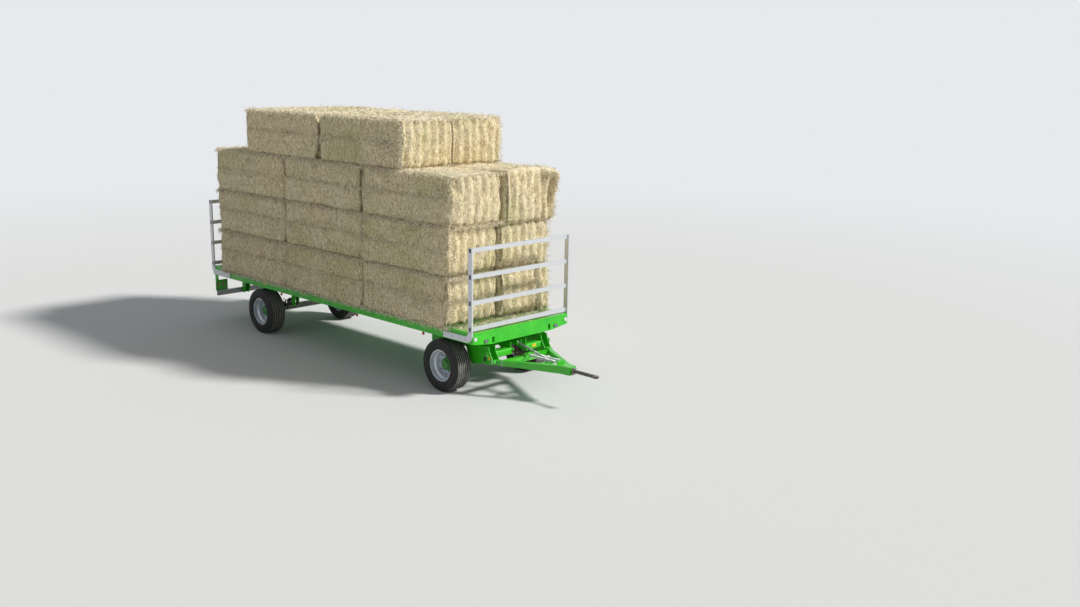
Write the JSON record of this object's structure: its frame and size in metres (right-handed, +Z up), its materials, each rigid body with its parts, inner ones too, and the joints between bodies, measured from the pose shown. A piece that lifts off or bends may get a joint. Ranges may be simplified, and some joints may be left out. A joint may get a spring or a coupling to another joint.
{
  "type": "hay wagon",
  "caption": "Flat two-axle farm trailer with a steered front bogie, a hinged drawbar, an open rail gate at each end and a load of big square hay bales.",
  "frame": {"origin": "on the ground, halfway along the overall length and on the middle plane", "axes": "+X the way it is towed, +Y its left side, +Z up"},
  "size_m": [10.906, 2.5586, 4.9851],
  "materials": {
    "green_paint": "gloss paint, a little dusty",
    "green_dark": "gloss paint on cast hubs",
    "galvanised": "hot-dip galvanised",
    "zinc": "bright zinc",
    "black_paint": "satin black",
    "spring_steel": "satin black over leaf steel",
    "wheel_silver": "silver paint",
    "aluminium_bar": "extruded",
    "tyre": "road tyre rubber",
    "black_plastic": "moulded plugs",
    "white_lens": "clear lens",
    "amber_lens": "amber lens",
    "red_lens": "red lens",
    "hay": "pressed dry hay"
  },
  "bodies": {
    "chassis": {"air_tank": "black_paint", "coupling_pin": "zinc", "cross_members": "green_paint", "deck_plate": "green_paint", "front_beam": "green_paint", "front_gate_posts": "galvanised", "front_gate_rails": "galvanised", "front_lamps": "white_lens", "front_reflectors": "white_lens", "gate_rail_caps": "black_plastic", "hay_bales_layer_1": "hay", "hay_bales_layer_2": "hay", "hay_bales_layer_3": "hay", "hay_bales_top": "hay", "main_beam_left": "green_paint", "main_beam_right": "green_paint", "rear_axle": "black_paint", "rear_beam": "green_paint", "rear_coupling": "green_paint", "rear_gate_posts": "galvanised", "rear_gate_rails": "galvanised", "rear_guard_bar": "aluminium_bar", "rear_guard_legs": "green_paint", "rear_lamp_board_left": "green_paint", "rear_lamp_board_right": "green_paint", "rear_spring_hangers": "green_paint", "rear_springs": "spring_steel", "side_marker_lamps": "amber_lens", "side_rail_left": "green_paint", "side_rail_right": "green_paint", "tail_lamps": "red_lens", "turntable_upper_ring": "black_paint"},
    "bogie": {"bogie_frame": "green_paint", "front_axle": "black_paint", "front_springs": "spring_steel", "turntable_lower_ring": "black_paint"},
    "drawbar": {"drawbar_frame": "green_paint", "lift_springs": "green_paint", "support_rod": "zinc", "towing_eye": "black_paint"},
    "wheel_front_left": {"hub_front_left": "green_dark", "rim_front_left": "wheel_silver", "tyre_front_left": "tyre"},
    "wheel_front_right": {"hub_front_right": "green_dark", "rim_front_right": "wheel_silver", "tyre_front_right": "tyre"},
    "wheel_rear_left": {"hub_rear_left": "green_dark", "rim_rear_left": "wheel_silver", "tyre_rear_left": "tyre"},
    "wheel_rear_right": {"hub_rear_right": "green_dark", "rim_rear_right": "wheel_silver", "tyre_rear_right": "tyre"}
  },
  "joints": [
    {"name": "turntable_steer", "type": "hinge", "parent": "chassis", "child": "bogie", "pos_m": [2.612, 0, 0.982], "axis": [0, 0, 1], "range_deg": [-90, 90]},
    {"name": "drawbar_hinge", "type": "hinge", "parent": "bogie", "child": "drawbar", "pos_m": [3.549, 0, 0.658], "axis": [0, -1, 0], "range_deg": [-17, 20]},
    {"name": "wheel_front_left_spin", "type": "hinge", "parent": "bogie", "child": "wheel_front_left", "pos_m": [2.612, 1.05, 0.498], "axis": [0, 1, 0], "continuous": true},
    {"name": "wheel_front_right_spin", "type": "hinge", "parent": "bogie", "child": "wheel_front_right", "pos_m": [2.612, -1.05, 0.498], "axis": [0, 1, 0], "continuous": true},
    {"name": "wheel_rear_left_spin", "type": "hinge", "parent": "chassis", "child": "wheel_rear_left", "pos_m": [-3.528, 1.05, 0.498], "axis": [0, 1, 0], "continuous": true},
    {"name": "wheel_rear_right_spin", "type": "hinge", "parent": "chassis", "child": "wheel_rear_right", "pos_m": [-3.528, -1.05, 0.498], "axis": [0, 1, 0], "continuous": true}
  ]
}
